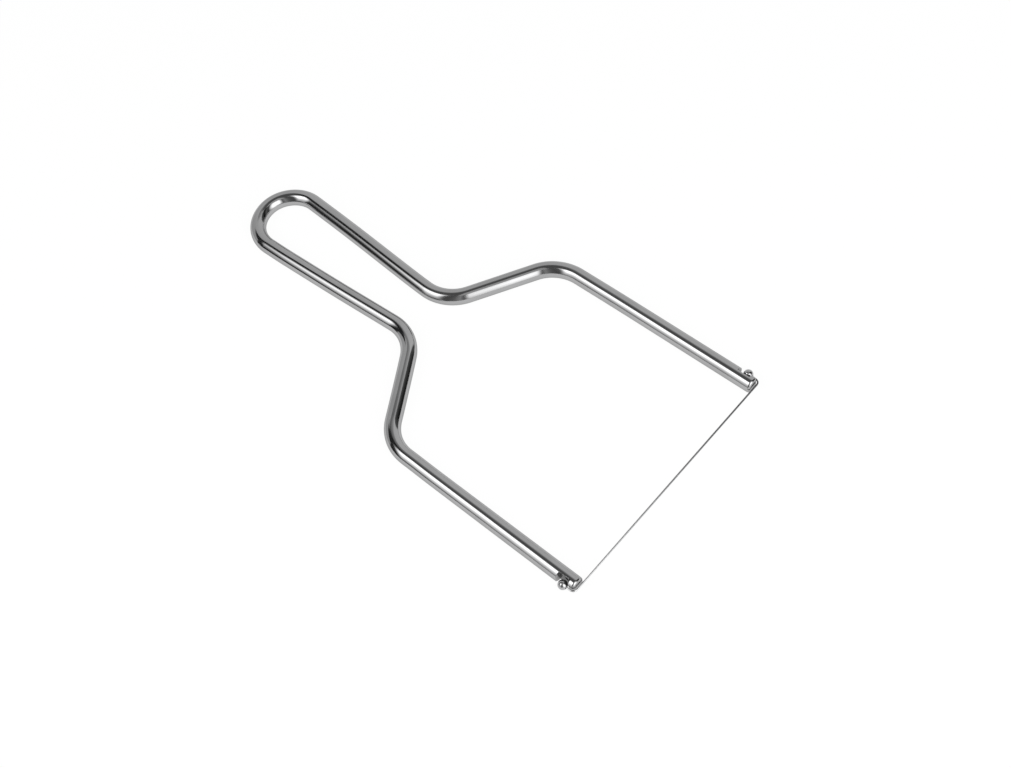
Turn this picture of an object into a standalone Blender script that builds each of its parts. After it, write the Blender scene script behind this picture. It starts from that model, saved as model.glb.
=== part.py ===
# Wire slicer for foie gras, in metres, lying flat with +Z up.
#
# One round steel bar is bent into a lyre: a long open handle loop, a neck, two shoulders and two arms.
# A thin cutting wire spans the arms' ends. Each end of the wire holds a small steel ball, which sits in
# a notch milled across the outer side of its arm, and the stub of bar left beyond the notch keeps it there.
# The notches are open upwards and downwards, so wire and balls slide out sideways when the wire is changed.
#
# The outline is drawn in the bar's own plane. X runs across the slicer and Y from the wire to the handle,
# and Y is zero at the arms' end faces. The root empty then puts the middle of the slicer over the origin,
# with the lowest line of the bar at height zero.

import math

import bmesh
import bpy
from mathutils import Vector

# Bar: its thickness, and the radii of its bends along the middle line
BAR_DIAMETER = 0.0075
LOOP_RADIUS = 0.0155
NECK_BEND_RADIUS = 0.0195
SHOULDER_BEND_RADIUS = 0.0205

# Lengths from the arms' end faces towards the handle: to where the straight runs would meet at the
# shoulder, from there to where they would meet at the neck, and from there to the loop's centre
ARM_LENGTH = 0.1080
SHOULDER_RISE = 0.0285
HANDLE_LENGTH = 0.0895

# Distances from the middle line at the neck and the shoulder, and how far the arms spread to their ends
NECK_HALF_WIDTH = 0.0105
SHOULDER_HALF_WIDTH = 0.0575
ARM_SPREAD = 0.0010

# Round that eases the edge of each arm's end face
END_EDGE_ROUND = 0.0012

# Wire and balls
WIRE_DIAMETER = 0.0008
BALL_DIAMETER = 0.0044
BALL_BORE_PAST_CENTRE = 0.0007

# Wire seat at each arm end: a flat on the outer side of the stub, then the ball's notch
STUB_LENGTH = 0.0028
STUB_FLAT_DEPTH = 0.0012
STUB_CORNER_ROUND = 0.0014
NOTCH_LENGTH = 0.0062

# Gap between neighbouring pieces, and how far a cutter runs past what it cuts
CLEARANCE = 0.0003
CUTTER_OVERRUN = 0.0020

# Fineness of the round shapes: sides of a section, and the angle between two stations of a bend
BAR_SIDES = 24
WIRE_SIDES = 12
BALL_SIDES = 20
BAR_BEND_STEP = math.radians(7.5)
WIRE_BEND_STEP = math.radians(15)
EDGE_STEPS = 3
SMOOTH_ANGLE = math.radians(35)

# Sizes worked out from the ones above
ARM_END_HALF_WIDTH = SHOULDER_HALF_WIDTH + ARM_SPREAD
NECK_DISTANCE = ARM_LENGTH + SHOULDER_RISE
LOOP_DISTANCE = NECK_DISTANCE + HANDLE_LENGTH
BAR_RADIUS = BAR_DIAMETER / 2
WIRE_RADIUS = WIRE_DIAMETER / 2
BALL_RADIUS = BALL_DIAMETER / 2
BORE_RADIUS = WIRE_RADIUS + CLEARANCE
FLAT_HEIGHT = BAR_RADIUS - STUB_FLAT_DEPTH
BALL_HEIGHT = FLAT_HEIGHT + CLEARANCE + WIRE_RADIUS
NOTCH_FLOOR_HEIGHT = BALL_HEIGHT - BALL_RADIUS - CLEARANCE
BALL_DISTANCE = STUB_LENGTH + CLEARANCE + BALL_RADIUS
NOTCH_END = STUB_LENGTH + NOTCH_LENGTH
WIRE_FRONT = -CLEARANCE - WIRE_DIAMETER
LOOP_BACK = LOOP_DISTANCE + LOOP_RADIUS + BAR_RADIUS
MIDDLE_DISTANCE = (WIRE_FRONT + LOOP_BACK) / 2

# Finishes: colour, metallic and roughness
BAR_FINISH = ((0.44, 0.44, 0.445), 1.0, 0.08)
WIRE_FINISH = ((0.42, 0.42, 0.425), 1.0, 0.25)
BALL_FINISH = ((0.45, 0.45, 0.455), 1.0, 0.20)


def clear_scene():
    """Remove every object that the scene holds."""
    for thing in list(bpy.data.objects):
        bpy.data.objects.remove(thing, do_unlink=True)


def make_material(name, finish):
    """A Principled material from a colour, a metallic value and a roughness."""
    colour, metallic, roughness = finish
    material = bpy.data.materials.new(name)
    material.use_nodes = True
    shader = material.node_tree.nodes["Principled BSDF"]
    shader.inputs["Base Color"].default_value = (*colour, 1.0)
    shader.inputs["Metallic"].default_value = metallic
    shader.inputs["Roughness"].default_value = roughness
    return material


def make_empty(name, location, parent=None):
    """An empty that carries other objects."""
    empty = bpy.data.objects.new(name, None)
    empty.location = location
    empty.parent = parent
    bpy.context.collection.objects.link(empty)
    return empty


def make_object(name, shape, parent, material, location=(0, 0, 0)):
    """Turn a bmesh into a named, smooth shaded object under its parent."""
    bmesh.ops.recalc_face_normals(shape, faces=shape.faces)
    mesh = bpy.data.meshes.new(name)
    shape.to_mesh(mesh)
    shape.free()
    mesh.shade_smooth()
    mesh.set_sharp_from_angle(angle=SMOOTH_ANGLE)
    thing = bpy.data.objects.new(name, mesh)
    thing.location = location
    thing.parent = parent
    if material is not None:
        mesh.materials.append(material)
    bpy.context.collection.objects.link(thing)
    return thing


def bend(centre, radius, start, end, step):
    """Stations along an arc, each a point and the direction in which the arc runs there."""
    count = max(2, math.ceil(abs(end - start) / step))
    sense = math.copysign(1, end - start)
    stations = []
    for index in range(count + 1):
        angle = start + (end - start) * index / count
        outward = Vector((math.cos(angle), math.sin(angle)))
        along = Vector((-outward.y, outward.x)) * sense
        stations.append((centre + outward * radius, along))
    return stations


def corner_bend(before, corner, after, radius, step):
    """Stations of the arc that rounds a corner between two straight runs."""
    back = (before - corner).normalized()
    ahead = (after - corner).normalized()
    half_angle = back.angle(ahead) / 2
    centre = corner + (back + ahead).normalized() * (radius / math.sin(half_angle))
    reach = radius / math.tan(half_angle)
    first = corner + back * reach - centre
    last = corner + ahead * reach - centre
    start = math.atan2(first.y, first.x)
    turn = math.atan2(first.cross(last), first.dot(last))
    return bend(centre, radius, start, start + turn, step)


def mirrored(stations):
    """The same run on the other side of the middle line, walked the other way."""
    return [(Vector((-point.x, point.y)), Vector((along.x, -along.y)))
            for point, along in reversed(stations)]


def add_ring(shape, centre, across, radius, sides):
    """A ring of vertices with flats facing up, down and sideways, so the bar lies on a flat."""
    corner_radius = radius / math.cos(math.pi / sides)
    ring = []
    for index in range(sides):
        angle = (index + 0.5) * 2 * math.pi / sides
        side = across * (math.cos(angle) * corner_radius)
        ring.append(shape.verts.new((centre.x + side.x, centre.y + side.y, math.sin(angle) * corner_radius)))
    return ring


def skin_rings(shape, rings):
    """Join neighbouring rings with faces, and close both ends."""
    for one, other in zip(rings, rings[1:]):
        for index in range(len(one)):
            after = (index + 1) % len(one)
            shape.faces.new((one[index], one[after], other[after], other[index]))
    shape.faces.new(rings[0])
    shape.faces.new(rings[-1])


def rings_along(shape, stations, radius, sides):
    """A ring square to the run at each of its stations."""
    return [add_ring(shape, point, Vector((along.y, -along.x)), radius, sides) for point, along in stations]


def bar_stations():
    """The bar's middle line on the right, from the top of the loop to the shoulder bend's end."""
    loop_centre = Vector((0, LOOP_DISTANCE))
    neck = Vector((NECK_HALF_WIDTH, NECK_DISTANCE))
    shoulder = Vector((SHOULDER_HALF_WIDTH, ARM_LENGTH))
    arm_end = Vector((ARM_END_HALF_WIDTH, 0))
    to_neck = neck - loop_centre
    loop_end = math.atan2(to_neck.y, to_neck.x) + math.acos(LOOP_RADIUS / to_neck.length)
    loop = bend(loop_centre, LOOP_RADIUS, math.pi / 2, loop_end, BAR_BEND_STEP)
    neck_bend = corner_bend(loop[-1][0], neck, shoulder, NECK_BEND_RADIUS, BAR_BEND_STEP)
    shoulder_bend = corner_bend(neck, shoulder, arm_end, SHOULDER_BEND_RADIUS, BAR_BEND_STEP)
    return loop + neck_bend + shoulder_bend


def end_rings(shape, side):
    """Rings of one arm end, parallel to the wire, that ease the edge of the end face."""
    arm_end = Vector((ARM_END_HALF_WIDTH, 0))
    lean = (Vector((SHOULDER_HALF_WIDTH, ARM_LENGTH)) - arm_end).normalized()
    rings = []
    for index in range(EDGE_STEPS + 1):
        angle = index * math.pi / 2 / EDGE_STEPS
        distance = END_EDGE_ROUND * (1 - math.sin(angle))
        centre = arm_end + lean * (distance / lean.y)
        across = Vector((-side / lean.y, 0))
        radius = BAR_RADIUS - END_EDGE_ROUND * (1 - math.cos(angle))
        rings.append(add_ring(shape, Vector((side * centre.x, centre.y)), across, radius, BAR_SIDES))
    return rings


def make_seat_cutter(name, side, parent):
    """The block that mills one arm end: the stub's flat and rounded corner, and the ball's notch."""
    axis = ARM_END_HALF_WIDTH
    reach = axis + BAR_RADIUS + CUTTER_OVERRUN
    round_centre = Vector((axis + FLAT_HEIGHT - STUB_CORNER_ROUND, STUB_CORNER_ROUND))
    outline = [Vector((reach, NOTCH_END)), Vector((reach, -CUTTER_OVERRUN)),
               Vector((round_centre.x, -CUTTER_OVERRUN))]
    outline += [point for point, _ in bend(round_centre, STUB_CORNER_ROUND, -math.pi / 2, 0, WIRE_BEND_STEP)]
    outline += [Vector((axis + FLAT_HEIGHT, STUB_LENGTH)), Vector((axis + NOTCH_FLOOR_HEIGHT, STUB_LENGTH)),
                Vector((axis + NOTCH_FLOOR_HEIGHT, NOTCH_END))]
    shape = bmesh.new()
    depth = BAR_RADIUS + CUTTER_OVERRUN
    face = shape.faces.new([shape.verts.new((side * point.x, point.y, -depth)) for point in outline])
    raised = bmesh.ops.extrude_face_region(shape, geom=[face])["geom"]
    top = [item for item in raised if isinstance(item, bmesh.types.BMVert)]
    bmesh.ops.translate(shape, verts=top, vec=(0, 0, 2 * depth))
    cutter = make_object(name, shape, parent, None)
    cutter.hide_render = True
    cutter.display_type = "WIRE"
    return cutter


def make_frame_bar(parent):
    """The bent bar: one run of round section from arm end to arm end, with a wire seat milled at each."""
    shape = bmesh.new()
    right = bar_stations()
    stations = mirrored(right) + right[1:]
    rings = end_rings(shape, -1)[::-1]
    rings += rings_along(shape, stations, BAR_RADIUS, BAR_SIDES)
    rings += end_rings(shape, 1)
    skin_rings(shape, rings)
    bar = make_object("frame_bar", shape, parent, make_material("polished_bar", BAR_FINISH))
    for name, side in (("left_seat_cutter", -1), ("right_seat_cutter", 1)):
        cut = bar.modifiers.new(name, "BOOLEAN")
        cut.operation = "DIFFERENCE"
        cut.solver = "EXACT"
        cut.object = make_seat_cutter(name, side, parent)
    return bar


def make_cutting_wire(parent):
    """The wire: along one stub, round its corner, across to the other arm and back along that stub."""
    side_x = ARM_END_HALF_WIDTH + BALL_HEIGHT
    front_y = -CLEARANCE - WIRE_RADIUS
    tip = Vector((side_x, BALL_DISTANCE + BALL_BORE_PAST_CENTRE - CLEARANCE))
    corner = Vector((side_x, front_y))
    radius = STUB_CORNER_ROUND + CLEARANCE + WIRE_RADIUS
    right = corner_bend(Vector((0, front_y)), corner, tip, radius, WIRE_BEND_STEP)
    right.append((tip, Vector((0, 1))))
    shape = bmesh.new()
    skin_rings(shape, rings_along(shape, mirrored(right) + right, WIRE_RADIUS, WIRE_SIDES))
    return make_object("cutting_wire", shape, parent, make_material("steel_wire", WIRE_FINISH))


def make_ball_shape():
    """A ball turned round the wire's end, with its blind bore opening towards the stub."""
    mouth = math.asin(BORE_RADIUS / BALL_RADIUS)
    profile = [(0, BALL_BORE_PAST_CENTRE), (BORE_RADIUS, BALL_BORE_PAST_CENTRE)]
    half_count = BALL_SIDES // 2
    for index in range(half_count + 1):
        angle = mouth + (math.pi - mouth) * index / half_count
        profile.append((BALL_RADIUS * math.sin(angle), -BALL_RADIUS * math.cos(angle)))
    profile[-1] = (0, BALL_RADIUS)
    shape = bmesh.new()
    points = [shape.verts.new((x, y, 0)) for x, y in profile]
    edges = [shape.edges.new(pair) for pair in zip(points, points[1:])]
    bmesh.ops.spin(shape, geom=points + edges, cent=(0, 0, 0), axis=(0, 1, 0),
                   angle=2 * math.pi, steps=BALL_SIDES, use_merge=True)
    bmesh.ops.remove_doubles(shape, verts=shape.verts, dist=WIRE_RADIUS / 100)
    return shape


def make_balls(parent):
    """The two balls, each behind the stub of its arm."""
    material = make_material("steel_ball", BALL_FINISH)
    for name, side in (("left_wire_ball", -1), ("right_wire_ball", 1)):
        place = (side * (ARM_END_HALF_WIDTH + BALL_HEIGHT), BALL_DISTANCE, 0)
        make_object(name, make_ball_shape(), parent, material, place)


def main():
    clear_scene()
    root = make_empty("slicer", (0, -MIDDLE_DISTANCE, BAR_RADIUS))
    wire_set = make_empty("wire_set", (0, 0, 0), root)
    make_frame_bar(root)
    make_cutting_wire(wire_set)
    make_balls(wire_set)
    bpy.context.view_layer.update()


main()
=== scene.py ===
# %% [markdown]
# # A wire slicer for foie gras
#
# The real tool is one round steel bar, bent into a lyre, with a thin wire stretched between its two arms.
# The cook holds the narrow loop and presses the wire through the lobe. There are only four pieces: the bar,
# the wire, and a small steel ball on each end of the wire. Everything here is drawn in metres around the
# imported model, which carries the part's estimated size and its motion: the wire and its balls move
# together, which stands in for changing the wire.
#
# Each piece could be made with Blender's own curves and spheres. Here each one is a surface worked out with
# numpy instead, because then the places of the rows and columns can be chosen: close together at the
# milled edges, and wide apart where the bar is straight.

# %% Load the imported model
import math

import bpy
import numpy as np
from mathutils import Matrix, Quaternion, Vector


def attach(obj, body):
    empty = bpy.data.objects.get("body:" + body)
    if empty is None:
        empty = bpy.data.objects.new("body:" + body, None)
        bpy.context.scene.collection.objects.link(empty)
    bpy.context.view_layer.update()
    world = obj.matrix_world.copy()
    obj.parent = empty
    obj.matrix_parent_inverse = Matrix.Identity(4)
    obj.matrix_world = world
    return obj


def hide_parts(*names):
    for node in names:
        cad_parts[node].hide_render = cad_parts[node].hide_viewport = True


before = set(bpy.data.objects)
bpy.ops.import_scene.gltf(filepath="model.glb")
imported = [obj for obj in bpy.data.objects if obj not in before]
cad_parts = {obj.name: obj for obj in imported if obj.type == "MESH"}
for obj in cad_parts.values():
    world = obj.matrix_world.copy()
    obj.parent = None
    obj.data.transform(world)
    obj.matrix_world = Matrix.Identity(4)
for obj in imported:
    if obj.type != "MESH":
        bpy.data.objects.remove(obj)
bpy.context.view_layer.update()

# %% [markdown]
# ## The sizes that everything follows
#
# The bar is taken as 7.5 mm thick. Its middle line is drawn with Y at zero on the end faces of the arms, as
# a bender would measure it, and then moved so that the middle of the slicer stands over the origin. One
# sheet of sizes, used by all pieces, is the simplest way to make the ball sit in its notch and the wire on
# its stub.

# %% The bar's sizes
MM = 0.001
BAR_RADIUS = 3.75 * MM
LOOP_RADIUS, NECK_BEND_RADIUS, SHOULDER_BEND_RADIUS = 15.5 * MM, 19.5 * MM, 20.5 * MM
ARM_LENGTH, NECK_DISTANCE, LOOP_DISTANCE = 108.0 * MM, 136.5 * MM, 226.0 * MM
NECK_HALF_WIDTH, SHOULDER_HALF_WIDTH, ARM_END_HALF_WIDTH = 10.5 * MM, 57.5 * MM, 58.5 * MM
END_EDGE_ROUND = 1.2 * MM
print("slicer's length over the bar", LOOP_DISTANCE + LOOP_RADIUS + BAR_RADIUS)

# %% The wire's, the balls' and the seats' sizes
CLEARANCE = 0.3 * MM
WIRE_RADIUS, BALL_RADIUS, BORE_PAST_CENTRE = 0.4 * MM, 2.2 * MM, 0.7 * MM
BORE_RADIUS = WIRE_RADIUS + CLEARANCE
STUB_LENGTH, NOTCH_END, STUB_CORNER_ROUND = 2.8 * MM, 9.0 * MM, 1.4 * MM
FLAT_HEIGHT = BAR_RADIUS - 1.2 * MM
BALL_HEIGHT = FLAT_HEIGHT + CLEARANCE + WIRE_RADIUS
NOTCH_FLOOR_HEIGHT = BALL_HEIGHT - BALL_RADIUS - CLEARANCE
BALL_DISTANCE = STUB_LENGTH + CLEARANCE + BALL_RADIUS
MIDDLE_DISTANCE = (LOOP_DISTANCE + LOOP_RADIUS + BAR_RADIUS - CLEARANCE - 2 * WIRE_RADIUS) / 2
print("end faces at Y", round(-MIDDLE_DISTANCE, 5),
      "notch floor above the axis", round(NOTCH_FLOOR_HEIGHT, 5))

# %% [markdown]
# ## A skin over rings of points
#
# Bar, wire and balls are all tubes of some kind: rings of points, one after the other, with faces between
# them. Blender can skin rings with a loft add-on or with bmesh, but a grid of points in one array gives
# every face by counting alone. Both ends are closed with a fan of triangles round one point, so that the
# surface is shut, and the sum of small volumes says whether the faces point outwards.

# %% Skin
def outward(points, faces):
    """The faces turned to point outwards: the volume is the sum of each triangle's corner product."""
    a, b, c = points[faces[:, 0]], points[faces[:, 1]], points[faces[:, 2]]
    volume = np.einsum("ij,ij->i", np.cross(a, b), c).sum()
    return faces if volume > 0 else faces[:, ::-1]


def skin(name, rings, along, around, sharp_angle=math.radians(30)):
    """A closed tube through rings[row, column]. Its UV map is the distance along and around."""
    rows, columns = rings.shape[:2]
    row, column = np.meshgrid(np.arange(rows - 1), np.arange(columns), indexing="ij")
    after = (column + 1) % columns
    quads = np.stack([row * columns + column, row * columns + after,
                      (row + 1) * columns + after, (row + 1) * columns + column], -1).reshape(-1, 4)
    poles = np.stack([rings[0].mean(0), rings[-1].mean(0)])
    points = np.concatenate([rings.reshape(-1, 3), poles])
    here, there = np.arange(columns), (np.arange(columns) + 1) % columns
    first = np.stack([there, here, np.full(columns, rows * columns)], -1)
    last = np.stack([here, there, np.full(columns, rows * columns + 1)], -1)
    last[:, :2] += (rows - 1) * columns
    triangles = np.concatenate([quads[:, [0, 1, 2]], quads[:, [0, 2, 3]], first, last])
    turned = outward(points, triangles)[0, 0] != triangles[0, 0]
    order = slice(None, None, -1) if turned else slice(None)
    mesh = bpy.data.meshes.new(name)
    mesh.from_pydata(points, [], [face for part in (quads, first, last) for face in part[:, order].tolist()])
    quad_uv = np.stack([np.stack([along[row + down], around[column + across]], -1)
                        for down, across in ((0, 0), (0, 1), (1, 1), (1, 0))], 2).reshape(-1, 4, 2)
    fans = []
    for end, corners in ((along[0], (1, 0)), (along[-1], (0, 1))):
        edge = [np.stack([np.full(columns, end), around[here + step]], -1) for step in corners]
        middle = np.stack([np.full(columns, end), (around[here] + around[here + 1]) / 2], -1)
        fans.append(np.stack([*edge, middle], 1))
    uv = np.concatenate([part[:, order].reshape(-1, 2) for part in (quad_uv, *fans)])
    mesh.uv_layers.new(name="along_and_around").uv.foreach_set("vector", uv.astype(np.float32).ravel())
    mesh.shade_smooth()
    mesh.set_sharp_from_angle(angle=sharp_angle)
    thing = bpy.data.objects.new(name, mesh)
    bpy.context.scene.collection.objects.link(thing)
    print(name, "rows", rows, "columns", columns, "faces", len(mesh.polygons), "faces turned", turned)
    return thing


# %% [markdown]
# ## The bar's middle line
#
# The bar is taken as bent in straight runs and true arcs, and the middle line is made the same way: half the
# loop, the handle rod, the neck bend, the slanting shoulder, the shoulder bend and the arm. The real handle
# is probably neither quite straight nor quite round. A Bezier curve would be quicker to draw but its bends
# wouldn't be round. Only the right half is worked out, because the left half is taken as its mirror image.

# %% Arcs and straight runs
def arc(centre, radius, start, turn, step=math.radians(2.5)):
    """Points at equal angles: the centre plus the radius times cosine and sine of the angle."""
    angles = start + turn * np.linspace(0, 1, max(3, math.ceil(abs(turn) / step)) + 1)
    return centre + radius * np.stack([np.cos(angles), np.sin(angles)], -1)


def corner_arc(before, corner, after, radius):
    """The arc that rounds a corner. Its centre is on the bisector, at the radius over the
    half angle's sine."""
    back = (before - corner) / np.linalg.norm(before - corner)
    ahead = (after - corner) / np.linalg.norm(after - corner)
    half = math.acos(float(np.clip(back @ ahead, -1, 1))) / 2
    bisector = (back + ahead) / np.linalg.norm(back + ahead)
    centre = corner + bisector * radius / math.sin(half)
    start = corner + back * radius / math.tan(half) - centre
    end = corner + ahead * radius / math.tan(half) - centre
    turn = math.atan2(start[0] * end[1] - start[1] * end[0], start @ end)
    return arc(centre, radius, math.atan2(start[1], start[0]), turn)


def run(start, end, longest=3 * MM):
    """Points at equal steps along a straight run, both ends left out."""
    count = max(1, math.ceil(np.linalg.norm(end - start) / longest))
    return start + (end - start) * (np.arange(1, count) / count)[:, None]


# %% Half of the middle line
loop_centre, neck = np.array([0.0, LOOP_DISTANCE]), np.array([NECK_HALF_WIDTH, NECK_DISTANCE])
shoulder, arm_end = np.array([SHOULDER_HALF_WIDTH, ARM_LENGTH]), np.array([ARM_END_HALF_WIDTH, 0.0])
to_neck = neck - loop_centre
loop_stop = math.atan2(to_neck[1], to_neck[0]) + math.acos(LOOP_RADIUS / np.linalg.norm(to_neck))
loop_arc = arc(loop_centre, LOOP_RADIUS, math.pi / 2, loop_stop - math.pi / 2)
neck_arc = corner_arc(loop_arc[-1], neck, shoulder, NECK_BEND_RADIUS)
shoulder_arc = corner_arc(neck, shoulder, arm_end, SHOULDER_BEND_RADIUS)
ARM_ROWS_START = 12 * MM
lean = (shoulder - arm_end) / (shoulder - arm_end)[1]
arm_start = arm_end + lean * ARM_ROWS_START
bends = np.concatenate([loop_arc, run(loop_arc[-1], neck_arc[0]), neck_arc,
                        run(neck_arc[-1], shoulder_arc[0]), shoulder_arc,
                        run(shoulder_arc[-1], arm_start), arm_start[None]])
print("stations from the loop's top to the arm", len(bends), "arm leans", round(lean[0], 5))

# %% [markdown]
# ## The seat at each arm's end
#
# Each arm ends in a stub with a flat on its outer side, where the wire lies, and behind it a deep notch for
# the ball. Both are taken as milled, and the notch's depth is guessed. A boolean leaves long thin faces
# on a curved bar. Here the seat is written as a height over the bar's axis that changes along the arm, and
# each section is the round bar cut off at that height, with its edges a little eased as after deburring.

# %% The seat's height along the arm
EASE = 0.12 * MM
DRAFT = 0.01 * MM
FAR_ABOVE = BAR_RADIUS * 1.5
quarter = np.linspace(0, math.pi / 2, 9)
rise, bow = np.sin(quarter), 1 - np.cos(quarter)
seat_runs = [
    (STUB_CORNER_ROUND * bow, FLAT_HEIGHT - STUB_CORNER_ROUND + STUB_CORNER_ROUND * rise),
    (np.array([1.7, 2.1, 2.5]) * MM, np.full(3, FLAT_HEIGHT)),
    (STUB_LENGTH - EASE + EASE * rise, FLAT_HEIGHT - EASE * bow),
    (STUB_LENGTH + DRAFT + EASE * bow, NOTCH_FLOOR_HEIGHT + EASE - EASE * rise),
    (STUB_LENGTH + np.array([0.3, 1.6, 3.1, 4.6, 5.9]) * MM, np.full(5, NOTCH_FLOOR_HEIGHT)),
    (NOTCH_END - EASE + EASE * rise, NOTCH_FLOOR_HEIGHT + EASE * bow),
    (np.array([NOTCH_END + DRAFT, ARM_ROWS_START]), np.full(2, FAR_ABOVE)),
]
seat_along, seat_height = (np.concatenate([part[side] for part in seat_runs]) for side in (0, 1))
print("seat rows", len(seat_along), "in order", bool((np.diff(seat_along) > 0).all()))

# %% Rows along the arm's end and columns around the bar
edge_rows = END_EDGE_ROUND * (1 - np.sin(np.linspace(0, math.pi / 2, 12)))
past_notch = NOTCH_END + DRAFT + np.array([0.015, 0.04, 0.08, EASE / MM, 0.16, 0.3, 0.8, 1.6]) * MM
end_rows = np.unique(np.round(np.concatenate([seat_along, edge_rows, past_notch]), 8))[::-1]
flat_edge, notch_edge = (math.degrees(math.acos(h / BAR_RADIUS)) for h in (FLAT_HEIGHT, NOTCH_FLOOR_HEIGHT))
near_flat = flat_edge + np.array([-3.0, -1.8, -1.0, -0.4, 0.2, 0.8, 1.6, 3.0])
near_notch = notch_edge + np.array([-2.4, -1.2, -0.6, -0.3, 0.0, 0.3, 0.6, 1.2, 2.4])
cluster = np.concatenate([near_flat, near_notch])
COLUMN_STEP, COLUMN_ROOM = 5.0, 2.0
even_columns = np.arange(0, 180 + COLUMN_STEP / 2, COLUMN_STEP)
clear = np.abs(even_columns[:, None] - cluster).min(1) > COLUMN_ROOM
upper = np.concatenate([cluster, even_columns[clear]])
columns = np.radians(np.unique(np.round(np.concatenate([upper, -upper[(upper > 0) & (upper < 180)]]), 4)))
print("end rows", len(end_rows), "columns around the bar", len(columns), "edges at", flat_edge, notch_edge)


# %% [markdown]
# Two heights meet along each milled edge: the round bar's own radius and the cut. Taking the lesser of the
# two gives a knife edge. A smooth minimum takes the lesser but rounds the meeting line off by a few
# hundredths of a millimetre, which is what a deburring brush leaves and what catches the light.

# %% Radius of the cut bar
EDGE_EASE, MILLED_DEPTH = 0.1 * MM, 0.02 * MM
LIP_FADE, LEAST_COSINE = math.radians(4), 0.05


def smooth_least(a, b, width):
    """The lesser of two values, eased by a quadratic where they differ by less than the width."""
    near = np.maximum(width - np.abs(a - b), 0) / width
    return np.minimum(a, b) - near * near * width / 4


def end_section(distance, angle):
    """Distance of the surface from the axis: the bar's radius, less the end's edge round, or the seat's
    height over the cosine of the angle from the outer side, whichever is less. And one where it is cut."""
    inside = np.clip(END_EDGE_ROUND - distance, 0, END_EDGE_ROUND)
    round_bar = BAR_RADIUS - END_EDGE_ROUND + np.sqrt(END_EDGE_ROUND ** 2 - inside ** 2)
    beyond = np.clip(EASE - (distance - NOTCH_END - DRAFT), 0, EASE)
    lip = np.where(distance > NOTCH_END, EASE - np.sqrt(EASE ** 2 - beyond ** 2), 0)
    faded = np.clip((math.radians(notch_edge) - np.abs(angle)) / LIP_FADE, 0, 1)
    height = np.interp(distance, seat_along, seat_height) + lean[0] * -distance
    plane = height / np.maximum(np.cos(angle), LEAST_COSINE)
    milled = np.clip((round_bar - plane) / MILLED_DEPTH, 0, 1)
    return smooth_least(round_bar - lip * faded, plane, EDGE_EASE), milled


# %% Rings of the bar
def rings_along(stations, radii, angles, outer):
    """A ring at each station: outwards by radius times cosine, upwards by radius times sine."""
    flat = stations[:, None] + outer[:, None] * (radii * np.cos(angles))[..., None]
    rise = radii * np.sin(angles) * np.ones(len(stations))[:, None]
    return np.concatenate([flat, rise[..., None]], -1)


def arc_tangents(stations):
    """Directions along the middle line: at each station the mean of the directions of the
    chords on its two sides."""
    chords = np.diff(stations, axis=0)
    chords = chords / np.linalg.norm(chords, axis=1, keepdims=True)
    sides = np.concatenate([chords[:1], chords, chords[-1:]])
    mean = sides[:-1] + sides[1:]
    return mean / np.linalg.norm(mean, axis=1, keepdims=True)


tangents = arc_tangents(bends)
tangents[0] = (1, 0)
outer = np.stack([-tangents[:, 1], tangents[:, 0]], -1)
bent_rings = rings_along(bends, np.full((len(bends), 1), BAR_RADIUS), columns, outer)
end_stations = arm_end + lean * end_rows[:, None]
end_radii, milled = end_section(end_rows[:, None], columns)
# in_notch marks the notch, where the bar's colour is painted darker as painted shade.
in_notch = milled * ((end_rows > STUB_LENGTH) & (end_rows < NOTCH_END + EASE))[:, None]
end_rings = rings_along(end_stations, end_radii, columns, np.tile([1.0, 0.0], (len(end_rows), 1)))
shrink = np.array([0.985, 0.93, 0.75, 0.5, 0.25])[:, None, None]
middle = np.append(arm_end, 0)
face_rings = middle + (end_rings[-1] - middle) * shrink
right_rings = np.concatenate([bent_rings, end_rings[1:], face_rings])
print("rings on the right half", len(right_rings))

# %% The bar
def mirrored_rings(right):
    """The left half's rings, last to first, then the right half's, with the ring on the middle line once."""
    return np.concatenate([right[:0:-1] * (-1, 1, 1), right])


def placed(rings):
    """Rings moved from the bender's drawing to the slicer's place over the floor."""
    return rings + (0, -MIDDLE_DISTANCE, BAR_RADIUS)


# The offsets were adjusted to the photograph, so they may also make up for small errors of the outline.
HUNDREDTH = 0.01 * MM
BENT_AT = np.array([0, 84, 97, 108, 120, 144, 156, 180, 192, 204, 216, 240, 252, 263, 272, 279, 288, 300,
                    312, 324, 336, 348, 366, 376, 384, 396, 408, 432, 444, 456, 468, 480, 545]) * MM
BENT_BY = np.array([0, -4, 14, -6, 14, 18, 4, -4, -14, -21, -18, -4, 33, 6, 0, -7, 34, 14,
                    -2, -12, -11, -2, 8, 4, -25, -22, -12, 0, 30, 18, 6, 0, 0]) * HUNDREDTH


def hand_bent(rings):
    """The rings moved sideways by up to 0.34 mm. The offset is given at some distances along
    the bar; between them it is a straight line, eased by the mean of eleven places a millimetre apart."""
    middles = rings.mean(1)
    steps = np.gradient(middles, axis=0)
    side = np.stack([steps[:, 1], -steps[:, 0], steps[:, 2] * 0], -1)
    side /= np.linalg.norm(side, axis=1, keepdims=True)
    along = np.append(0, np.cumsum(np.linalg.norm(np.diff(middles, axis=0), axis=1)))
    near = along[:, None] + np.arange(-5, 6) * MM
    offset = np.interp(near, BENT_AT, BENT_BY).mean(1)
    return rings + (side * offset[:, None])[:, None]


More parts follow.
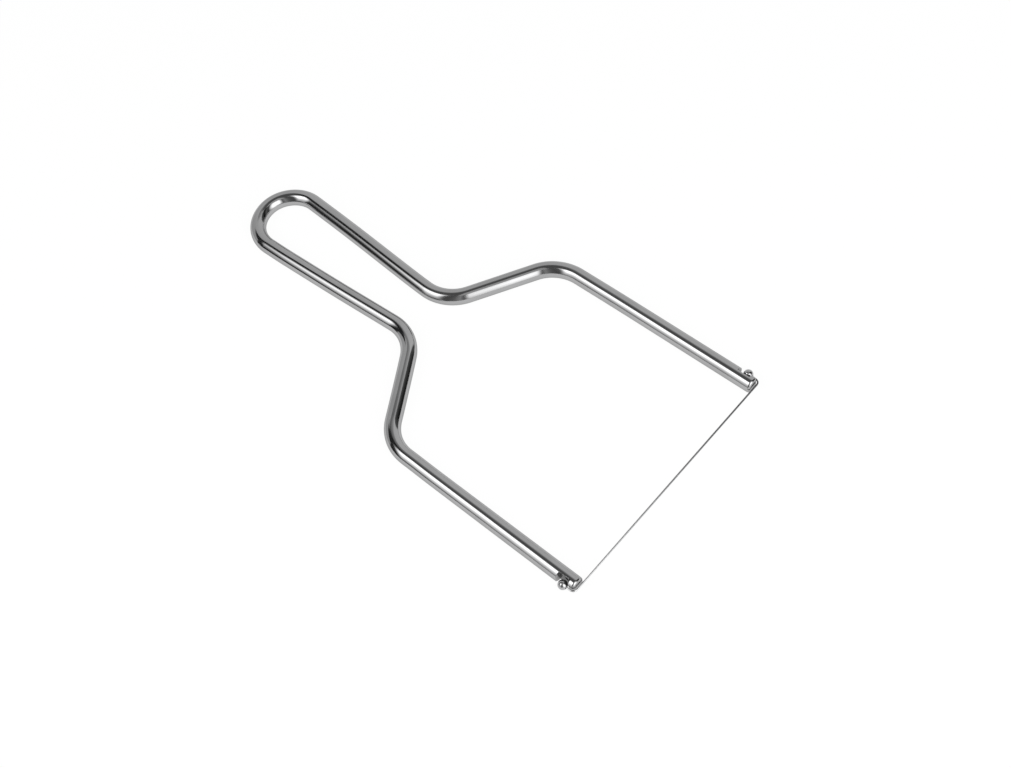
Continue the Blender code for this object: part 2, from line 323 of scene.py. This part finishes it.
bar_rings = hand_bent(placed(mirrored_rings(right_rings)))
bar_along = np.append(0, np.cumsum(np.linalg.norm(np.diff(bar_rings.mean(1), axis=0), axis=1)))
bar_around = np.append(columns, columns[0] + 2 * np.pi) * BAR_RADIUS
frame_bar = skin("bent_bar", bar_rings, bar_along, bar_around)
# The in_notch attribute carries where the notch's painted shade goes.
for label, end_part, on_face in (("cut_face", milled, 1.0), ("in_notch", in_notch, 0.0)):
    half = np.concatenate([np.zeros((len(bends), len(columns))), end_part[1:],
                           np.full((len(shrink), len(columns)), on_face)])
    values = np.append(np.concatenate([half[:0:-1], half]).ravel(), [on_face, on_face])
    mask = frame_bar.data.attributes.new(label, "FLOAT", "POINT")
    mask.data.foreach_set("value", values.astype(np.float32))
    print(label, "share of points", round(float(values.mean()), 3))
print("bar's length along its middle line", round(bar_along[-1], 4))

# %% [markdown]
# ## The wire
#
# The wire is taken as one hard drawn steel wire. It comes out of a ball, lies on the stub, turns round the
# stub's eased corner and crosses to the other arm, where it does the same. It is held taut, so it has no
# sag. It could be a curve with a bevel; rings along the same kind of path keep it like the bar.

# %% Wire
front = -CLEARANCE - WIRE_RADIUS
wire_side = ARM_END_HALF_WIDTH + BALL_HEIGHT
wire_corner = np.array([wire_side, front])
wire_tip = np.array([wire_side, BALL_DISTANCE + BORE_PAST_CENTRE - CLEARANCE])
turn_radius = STUB_CORNER_ROUND + CLEARANCE + WIRE_RADIUS
wire_bend = corner_arc(np.array([0.0, front]), wire_corner, wire_tip, turn_radius)
middle_point = np.array([[0.0, front]])
wire_path = np.concatenate([middle_point, run(middle_point[0], wire_bend[0]), wire_bend,
                            run(wire_bend[-1], wire_tip, 1 * MM), wire_tip[None]])
wire_tangents = arc_tangents(wire_path)
wire_outer = np.stack([wire_tangents[:, 1], -wire_tangents[:, 0]], -1)
wire_angles = np.linspace(0, 2 * np.pi, 24, endpoint=False)
right_wire = rings_along(wire_path, np.full((len(wire_path), 1), WIRE_RADIUS), wire_angles, wire_outer)
wire_rings = placed(mirrored_rings(right_wire))
wire_along = np.append(0, np.cumsum(np.linalg.norm(np.diff(wire_rings.mean(1), axis=0), axis=1)))
wire_around = np.append(wire_angles, 2 * np.pi) * WIRE_RADIUS
cutting_wire = skin("taut_wire", wire_rings, wire_along, wire_around)
print("wire's length", round(wire_along[-1], 4))

# %% [markdown]
# ## The balls
#
# A steel ball sits on each end of the wire. How it is fastened isn't seen, so a blind bore is guessed, with
# its mouth eased so that it wouldn't cut the wire. A UV sphere has no bore, so the ball is a
# profile turned round the wire's axis: up the bore, over the eased mouth and round the ball.

# %% Balls
MOUTH_EASE = 0.15 * MM
BALL_COLUMNS = 64


def ball_profile():
    """Distance from the wire's axis, and place along it: bore's bottom and wall, a quarter round, ball."""
    mouth_radius = BORE_RADIUS + MOUTH_EASE
    start = math.asin(mouth_radius / BALL_RADIUS)
    mouth = -BALL_RADIUS * math.cos(start)
    turn = np.linspace(0, math.pi / 2, 6)
    over = np.linspace(start, math.pi, 45)[1:-1]
    reach = np.concatenate([BORE_RADIUS * np.array([0.5, 0.94, 1.0]), [BORE_RADIUS] * 3,
                            BORE_RADIUS + MOUTH_EASE * (1 - np.cos(turn)), BALL_RADIUS * np.sin(over)])
    wall = np.linspace(BORE_PAST_CENTRE, mouth + MOUTH_EASE, 5)[1:4]
    place = np.concatenate([[BORE_PAST_CENTRE] * 2, [BORE_PAST_CENTRE - 0.02 * MM], wall,
                            mouth + MOUTH_EASE * (1 - np.sin(turn)), -BALL_RADIUS * np.cos(over)])
    return reach, place


def turned_ball(name, side):
    """The profile turned round the wire's axis: each point goes round a circle of its own reach."""
    reach, place = ball_profile()
    angles = np.linspace(0, 2 * np.pi, BALL_COLUMNS, endpoint=False)
    rings = np.stack([side * wire_side + reach[:, None] * np.cos(angles),
                      np.broadcast_to(BALL_DISTANCE + place[:, None], (len(place), BALL_COLUMNS)),
                      reach[:, None] * np.sin(angles)], -1)
    along = np.append(0, np.cumsum(np.hypot(np.diff(reach), np.diff(place))))
    return skin(name, placed(rings), along, np.append(angles, 2 * np.pi) * BALL_RADIUS)


left_ball, right_ball = turned_ball("turned_ball_left", -1), turned_ball("turned_ball_right", 1)

# %% [markdown]
# ## Small helpers for materials
#
# A finish is a node tree. Effects that several finishes share are node groups: polisher's marks that run
# along the bar, and smudges such as hands leave. Neither is measured from the photograph. A group gives out
# only a value that changes over the surface, and each material places it with numbers of its own.

# %% Node helpers
def add_node(tree, kind, settings=(), **values):
    """A node with some settings, and with some inputs set by their names, spaces written as underscores."""
    node = tree.nodes.new(kind)
    for key, value in dict(settings).items():
        setattr(node, key, value)
    for key, value in values.items():
        socket = node.inputs[key.replace("_", " ")]
        if isinstance(value, bpy.types.NodeSocket):
            tree.links.new(value, socket)
        else:
            socket.default_value = value
    return node


def new_group(name, inputs, outputs):
    """An empty shader node group with named inputs, each with its kind and value, and named outputs."""
    group = bpy.data.node_groups.new(name, "ShaderNodeTree")
    for label, (kind, value) in inputs.items():
        socket = group.interface.new_socket(label, in_out="INPUT", socket_type=kind)
        socket.default_value = value
    for label in outputs:
        group.interface.new_socket(label, in_out="OUTPUT", socket_type="NodeSocketFloat")
    return group, group.nodes.new("NodeGroupInput"), group.nodes.new("NodeGroupOutput")


def place_group(tree, group, **values):
    """The group as a node of the material, with its inputs set by their names."""
    node = tree.nodes.new("ShaderNodeGroup")
    node.node_tree = group
    for key, value in values.items():
        node.inputs[key].default_value = value
    return node


# %% [markdown]
# ### Polisher's marks
#
# The bar is taken as belt polished along its length, so fine lines run with it. They follow the UV map,
# which is measured in metres along and around. A noise that is stretched forty times along the bar gives
# such lines without a picture.

# %% Group: marks along the surface
marks, marks_in, marks_out = new_group(
    "marks_along", {"Lines per metre": ("NodeSocketFloat", 2500.0), "Stretch": ("NodeSocketFloat", 40.0)},
    ["Lines"])
place = add_node(marks, "ShaderNodeUVMap", {"uv_map": "along_and_around"})
parts = add_node(marks, "ShaderNodeSeparateXYZ", Vector=place.outputs["UV"])
slow = add_node(marks, "ShaderNodeMath", {"operation": "DIVIDE"})
marks.links.new(parts.outputs["X"], slow.inputs[0])
marks.links.new(marks_in.outputs["Stretch"], slow.inputs[1])
stretched = add_node(marks, "ShaderNodeCombineXYZ", X=slow.outputs[0], Y=parts.outputs["Y"])
lines = add_node(marks, "ShaderNodeTexNoise", Vector=stretched.outputs[0], Detail=3.0, Roughness=0.6,
                 Scale=marks_in.outputs["Lines per metre"])
marks.links.new(lines.outputs["Fac"], marks_out.inputs["Lines"])
print("group", marks.name)

# %% Group: smudges and unevenness
smudges, smudges_in, smudges_out = new_group(
    "hand_smudges", {"Patches per metre": ("NodeSocketFloat", 60.0), "Low": ("NodeSocketFloat", 0.4),
                     "High": ("NodeSocketFloat", 0.65)}, ["Smudge"])
where = add_node(smudges, "ShaderNodeTexCoord")
patches = add_node(smudges, "ShaderNodeTexNoise", Vector=where.outputs["Object"], Detail=4.0, Roughness=0.55,
                   Scale=smudges_in.outputs["Patches per metre"])
span = add_node(smudges, "ShaderNodeMapRange", {"interpolation_type": "SMOOTHSTEP"},
                Value=patches.outputs["Fac"], From_Min=smudges_in.outputs["Low"],
                From_Max=smudges_in.outputs["High"])
smudges.links.new(span.outputs["Result"], smudges_out.inputs["Smudge"])
print("group", smudges.name)

# %% [markdown]
# ### Polished bar
#
# The bar is a metal with a low roughness. Its grey and its specular tint are darker than steel is usually
# given. They were chosen together with the lights, and the photograph doesn't tell the two apart. What the
# eye reads as polish is the sharp edge of the light and dark bands, so the roughness changes only a little
# with marks and smudges. The cut faces are taken as duller. The notches are painted darker: painted shade
# for the shade and dark reflections in the hollow between ball and stub. Two point attributes of the bar say
# where that is.

# %% Material: polished bar
def metal(name, specular_tint=(1.0, 1.0, 1.0, 1.0)):
    """A new material with a plain metal shader. Returns its tree and its shader."""
    material = bpy.data.materials.new(name)
    material.use_nodes = True
    shader = material.node_tree.nodes["Principled BSDF"]
    shader.inputs["Metallic"].default_value = 1.0
    shader.inputs["Specular Tint"].default_value = specular_tint
    return material, material.node_tree, shader


bar_finish, tree, shader = metal("polished_bar", (0.6, 0.6, 0.6, 1.0))
bar_marks = place_group(tree, marks, **{"Lines per metre": 2500.0, "Stretch": 40.0})
bar_smudges = place_group(tree, smudges, **{"Patches per metre": 60.0})
cut_mask = add_node(tree, "ShaderNodeAttribute", {"attribute_name": "cut_face"})
tone = add_node(tree, "ShaderNodeMix", {"data_type": "RGBA"}, Factor=bar_smudges.outputs["Smudge"])
tone.inputs["A"].default_value = (0.43, 0.43, 0.433, 1.0)
tone.inputs["B"].default_value = (0.405, 0.405, 0.408, 1.0)
# Painted shade: in the notch the base colour is darkened to 0.16, standing in for the shade and dark
# reflections in the hollow between ball and stub.
notch_mask = add_node(tree, "ShaderNodeAttribute", {"attribute_name": "in_notch"})
notch_painted_shade = add_node(tree, "ShaderNodeMix", {"data_type": "RGBA"}, Factor=notch_mask.outputs["Fac"])
tree.links.new(tone.outputs["Result"], notch_painted_shade.inputs["A"])
notch_painted_shade.inputs["B"].default_value = (0.16, 0.16, 0.16, 1.0)
tree.links.new(notch_painted_shade.outputs["Result"], shader.inputs["Base Color"])
shine = add_node(tree, "ShaderNodeMapRange", Value=bar_marks.outputs["Lines"], To_Min=0.05, To_Max=0.11)
smudged = add_node(tree, "ShaderNodeMath", {"operation": "MULTIPLY_ADD"})
tree.links.new(bar_smudges.outputs["Smudge"], smudged.inputs[0])
smudged.inputs[1].default_value = 0.04
tree.links.new(shine.outputs["Result"], smudged.inputs[2])
dull = add_node(tree, "ShaderNodeMix", {"data_type": "FLOAT"}, Factor=cut_mask.outputs["Fac"],
                A=smudged.outputs[0], B=0.24)
tree.links.new(dull.outputs["Result"], shader.inputs["Roughness"])
hollow = add_node(tree, "ShaderNodeBump", Strength=0.15, Distance=0.02 * MM,
                  Height=bar_marks.outputs["Lines"])
tree.links.new(hollow.outputs["Normal"], shader.inputs["Normal"])
frame_bar.data.materials.append(bar_finish)
print("material", bar_finish.name)

# %% [markdown]
# ### Drawn wire and turned ball
#
# The wire has fine lines along it, as drawn wire does, so it shines in streaks and is duller than the bar.
# It looks brighter toward its left end in the photograph. Here that is painted light: the wire's colour runs
# from light at its left end to dark at its right along the UV map, a painted reflection. Whether that is the
# metal or the light isn't known; here its colour changes along the UV map. The ball has faint rings, which
# also follow its UV map.

# %% Material: drawn wire
wire_finish, tree, shader = metal("drawn_wire")
wire_place = add_node(tree, "ShaderNodeUVMap", {"uv_map": "along_and_around"})
wire_parts = add_node(tree, "ShaderNodeSeparateXYZ", Vector=wire_place.outputs["UV"])
# Painted reflection: the wire's colour goes from light near its left end to dark toward its right.
BRIGHT_UNTIL, DARK_FROM = 0.1 * wire_along[-1], 0.75 * wire_along[-1]
darker = add_node(tree, "ShaderNodeMapRange", Value=wire_parts.outputs["X"], From_Min=BRIGHT_UNTIL,
                  From_Max=DARK_FROM)
wire_tone = add_node(tree, "ShaderNodeMix", {"data_type": "RGBA"}, Factor=darker.outputs["Result"])
wire_tone.inputs["A"].default_value = (0.60, 0.60, 0.605, 1.0)
wire_tone.inputs["B"].default_value = (0.25, 0.25, 0.253, 1.0)
tree.links.new(wire_tone.outputs["Result"], shader.inputs["Base Color"])
wire_marks = place_group(tree, marks, **{"Lines per metre": 9000.0, "Stretch": 60.0})
shine = add_node(tree, "ShaderNodeMapRange", Value=wire_marks.outputs["Lines"], To_Min=0.18, To_Max=0.34)
tree.links.new(shine.outputs["Result"], shader.inputs["Roughness"])
cutting_wire.data.materials.append(wire_finish)
print("material", wire_finish.name)

# %% Material: turned ball
ball_finish, tree, shader = metal("turned_ball")
shader.inputs["Base Color"].default_value = (0.45, 0.45, 0.455, 1.0)
ball_marks = place_group(tree, marks, **{"Lines per metre": 6000.0, "Stretch": 0.2})
shine = add_node(tree, "ShaderNodeMapRange", Value=ball_marks.outputs["Lines"], To_Min=0.12, To_Max=0.26)
tree.links.new(shine.outputs["Result"], shader.inputs["Roughness"])
for ball in (left_ball, right_ball):
    ball.data.materials.append(ball_finish)
print("material", ball_finish.name)

# %% [markdown]
# ## Who rides on what
#
# The bar stays with the body called frame. The wire and its balls ride on the wire set, which slides upwards
# when the wire is changed. Each new piece stands for the plain CAD node of the same thing.

# %% Pieces, bodies and slots
for piece, body, node, slot in (
        (frame_bar, "frame", "frame_bar", "polished_bar"),
        (cutting_wire, "wire_set", "cutting_wire", "steel_wire"),
        (left_ball, "wire_set", "left_wire_ball", "steel_ball"),
        (right_ball, "wire_set", "right_wire_ball", "steel_ball")):
    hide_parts(node)
    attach(piece, body)
    print(piece.name, "rides on", body, "and stands for", node)

# %% [markdown]
# ## Floor and world
#
# The ground in the photograph is taken as a white sweep. The floor and the world show white to the camera
# and in reflections, and light the rest with an even soft grey, so the picture's ground is white while a
# colour still renders about as it is written. The floor keeps a little of its own diffuse shade, which holds
# the soft shadow.

# %% Floor
def sees_background(tree):
    """One for camera rays, mirror rays and rays through glass, and nothing for soft light."""
    path = add_node(tree, "ShaderNodeLightPath")
    total = add_node(tree, "ShaderNodeMath", {"operation": "MAXIMUM"})
    tree.links.new(path.outputs["Is Camera Ray"], total.inputs[0])
    tree.links.new(path.outputs["Is Glossy Ray"], total.inputs[1])
    both = add_node(tree, "ShaderNodeMath", {"operation": "MAXIMUM"})
    tree.links.new(total.outputs[0], both.inputs[0])
    tree.links.new(path.outputs["Is Transmission Ray"], both.inputs[1])
    return both.outputs[0]


FLOOR_RADIUS, FLOOR_SIDES, FLOOR_DROP = 6.0, 96, 0.05 * MM
FLOOR_GLOW_SHARE = 0.94
angles = np.linspace(0, 2 * np.pi, FLOOR_SIDES, endpoint=False)
floor_mesh = bpy.data.meshes.new("studio_floor")
floor_mesh.from_pydata(np.stack([np.cos(angles), np.sin(angles), angles * 0 - FLOOR_DROP / FLOOR_RADIUS], -1)
                       * FLOOR_RADIUS, [], [list(range(FLOOR_SIDES))])
floor = bpy.data.objects.new("studio_floor", floor_mesh)
bpy.context.scene.collection.objects.link(floor)
floor_paint = bpy.data.materials.new("white_floor")
floor_paint.use_nodes = True
tree = floor_paint.node_tree
tree.nodes.remove(tree.nodes["Principled BSDF"])
soft = add_node(tree, "ShaderNodeBsdfDiffuse", Color=(0.85, 0.85, 0.85, 1.0))
glow = add_node(tree, "ShaderNodeEmission", Strength=1.012)
share = add_node(tree, "ShaderNodeMath", {"operation": "MULTIPLY"})
tree.links.new(sees_background(tree), share.inputs[0])
share.inputs[1].default_value = FLOOR_GLOW_SHARE
mixed = add_node(tree, "ShaderNodeMixShader", Fac=share.outputs[0])
tree.links.new(soft.outputs[0], mixed.inputs[1])
tree.links.new(glow.outputs[0], mixed.inputs[2])
tree.links.new(mixed.outputs[0], tree.nodes["Material Output"].inputs["Surface"])
floor_mesh.materials.append(floor_paint)
print("floor", FLOOR_RADIUS)

# %% World
AMBIENT = 0.2
world = bpy.data.worlds.new("white_room")
bpy.context.scene.world = world
world.use_nodes = True
tree = world.node_tree
room_level = add_node(tree, "ShaderNodeMapRange", Value=sees_background(tree), To_Min=AMBIENT, To_Max=1.0)
tree.links.new(room_level.outputs["Result"], tree.nodes["Background"].inputs["Strength"])
tree.nodes["Background"].inputs["Color"].default_value = (1.0, 1.0, 1.0, 1.0)
print("soft light from the world", AMBIENT)

# %% [markdown]
# ## What the metal sees
#
# Polished metal shows only what stands around it. The room isn't in the picture, so it is guessed from the
# bands on the bar: a tall soft box to the left and another in front, a sheet of paper behind, and grey and
# black cards between them. Their places and levels were adjusted until the bands looked alike from this
# camera, and another room might do as well. All are on one dome, which only reflections see. Each card is a
# mask with soft edges, laid over what is there already. One dome is easier to keep free of gaps than sheets.

# %% Soft edges on the dome
DOME_RADIUS = 2.5
compass, lift = np.meshgrid(np.linspace(-180, 180, 241), np.linspace(0, 90, 76))
turn_on = (compass + 360) % 360


def past(value, edge, width):
    """From zero before the edge to one after it: a cubic ease over the width."""
    share = np.clip((value - edge) / width + 0.5, 0, 1)
    return share * share * (3 - 2 * share)


def toward(azimuth, elevation):
    """The direction of a compass angle, which runs from the handle to the right, and a height in degrees."""
    turn, rise = np.radians(azimuth), np.radians(elevation)
    return np.stack([np.sin(turn) * np.cos(rise), np.cos(turn) * np.cos(rise), np.sin(rise)], -1)


def flat_card(corners, width):
    """One inside a card with straight edges: each edge is the plane through two corners and the middle, and
    the mask follows the least angle to an edge."""
    points = toward(*np.array(corners, float).T)
    planes = np.cross(points, np.roll(points, -1, 0))
    planes *= np.sign(planes @ points.mean(0))[:, None] / np.linalg.norm(planes, axis=1, keepdims=True)
    angles = np.degrees(np.arcsin(np.clip(toward(compass, lift) @ planes.T, -1, 1)))
    return past(angles.min(-1), 0, width)


# %% Level of the dome
dark_cards = ((20, 108, 124, 138, 150, 158, 214, 217, 228, 241, 254, 266, 272, 340),
              (0.03, 0.12, 0.0, 0.17, 0.0, 0.0, 0.0, 0.02, 0.42, 0.18, 0.12, 0.14, 0.03, 0.03))
level = np.interp(turn_on, *dark_cards)
over_paper = np.interp(compass, (14, 102), (0.18, 0.67))
ceiling = 0.134 + 0.45 * past(np.abs(compass), 120, 8)
paper = np.interp(compass, (-40, 104), (0.56, 0.83))
paper_top = np.interp(compass, (-40, -34.6, 1.6, 3, 25.5, 99), (2, 24, 42, 52, 55.5, 52.5))
left_light = np.interp(lift, (2, 30, 60), (0.35, 1.34, 3.6))
left_corners = ((-99, -9), (-71.5, -2.5), (-34, 47.5), (-29.5, 57), (-67.5, 69))
front_light = np.interp(lift, (0, 35, 70), (1.97, 2.8, 1.98))
for value, mask in (
        (over_paper, past(compass, 14, 3) * (1 - past(compass, 102, 3))),
        (ceiling, past(lift, 63.7, 3)),
        (paper, (1 - past(lift, paper_top, 2)) * past(compass, -40, 2) * (1 - past(compass, 99, 2))),
        (left_light, flat_card(left_corners, 13)),
        (front_light, past(turn_on, 161, 30) * (1 - past(turn_on, 212, 20)) * (1 - past(lift, 63, 7)))):
    level = level + (value - level) * mask
print("dome's level from", round(float(level.min()), 2), "to", round(float(level.max()), 2))

# %% Studio dome
dome_mesh = bpy.data.meshes.new("studio_dome")
rows, across = level.shape
row, column = np.meshgrid(np.arange(rows - 1), np.arange(across - 1), indexing="ij")
first = row * across + column
dome_faces = np.stack([first, first + 1, first + across + 1, first + across], -1).reshape(-1, 4)
dome_mesh.from_pydata((toward(compass, lift) * DOME_RADIUS).reshape(-1, 3), [], dome_faces.tolist())
dome_level = dome_mesh.attributes.new("level", "FLOAT", "POINT")
dome_level.data.foreach_set("value", level.astype(np.float32).ravel())
dome = bpy.data.objects.new("studio_dome", dome_mesh)
bpy.context.scene.collection.objects.link(dome)
dome_paint = bpy.data.materials.new("studio_dome")
dome_paint.use_nodes = True
tree = dome_paint.node_tree
tree.nodes.remove(tree.nodes["Principled BSDF"])
even = add_node(tree, "ShaderNodeAttribute", {"attribute_name": "level"})
light = add_node(tree, "ShaderNodeEmission", Strength=even.outputs["Fac"])
tree.links.new(light.outputs[0], tree.nodes["Material Output"].inputs["Surface"])
dome_mesh.materials.append(dome_paint)
dome.visible_camera = dome.visible_diffuse = dome.visible_shadow = False
print("dome", len(dome_mesh.polygons), "faces")

# %% [markdown]
# ## Lamps
#
# Two soft boxes light the floor and whatever isn't a mirror, from the same sides as on the dome. They are
# hidden from reflections, because the dome already shows them with their softer edges. Their power is set
# so that a colour on the floor renders about as it is written.

# %% Soft boxes
BOX_DISTANCE = 1.3


def soft_box(name, azimuth, elevation, roll, width, height, radiance):
    """A rectangular lamp that faces the slicer. Its power is its radiance times its area times pi."""
    lamp = bpy.data.lights.new(name, "AREA")
    lamp.shape, lamp.size, lamp.size_y = "RECTANGLE", width, height
    lamp.energy = radiance * math.pi * width * height
    thing = bpy.data.objects.new(name, lamp)
    turn, lift = math.radians(azimuth), math.radians(elevation)
    back = Vector((math.sin(turn) * math.cos(lift), math.cos(turn) * math.cos(lift), math.sin(lift)))
    facing = (-back).to_track_quat("-Z", "Y") @ Quaternion((0, 0, 1), math.radians(roll))
    thing.matrix_world = Matrix.Translation(back * BOX_DISTANCE) @ facing.to_matrix().to_4x4()
    thing.visible_camera = thing.visible_glossy = False
    bpy.context.scene.collection.objects.link(thing)
    return thing


left_box = soft_box("soft_box_left", -70, 38, 15, 0.72, 1.58, 3.2)
front_box = soft_box("soft_box_front", -175, 37, 0, 1.08, 1.90, 3.2)
print("lamps", left_box.data.energy, front_box.data.energy)

# %% [markdown]
# ## Camera
#
# The camera looks down on the slicer from beyond the wire's left end, tilted a little round its own axis.
# Its place, lens and roll were found by fitting the bent bar's middle line to the photograph. Other cameras
# fit about as well, with a bar of slightly other proportions.

# %% Camera
EYE = placed(np.array([-235.6, -229.32, 640.83]) * MM)
AIM = placed(np.array([-4.66, 86.33, 0.0]) * MM)
ROLL = math.radians(-14.707)
ahead = (AIM - EYE) / np.linalg.norm(AIM - EYE)
level_right = np.cross(ahead, (0, 0, 1)) / np.linalg.norm(np.cross(ahead, (0, 0, 1)))
level_up = np.cross(level_right, ahead)
right = math.cos(ROLL) * level_right + math.sin(ROLL) * level_up
up = np.cross(right, ahead)
camera = bpy.data.objects.new("camera", bpy.data.cameras.new("camera"))
bpy.context.scene.collection.objects.link(camera)
camera.matrix_world = Matrix([*np.stack([right, up, -ahead, EYE], -1).tolist(), [0, 0, 0, 1]])
camera.data.lens = 61.406
camera.data.sensor_width = 36.0
camera.data.clip_start, camera.data.clip_end = 0.01, 50.0
bpy.context.scene.camera = camera
bpy.context.scene.view_settings.view_transform = "Standard"
print("camera at", camera.location[:])
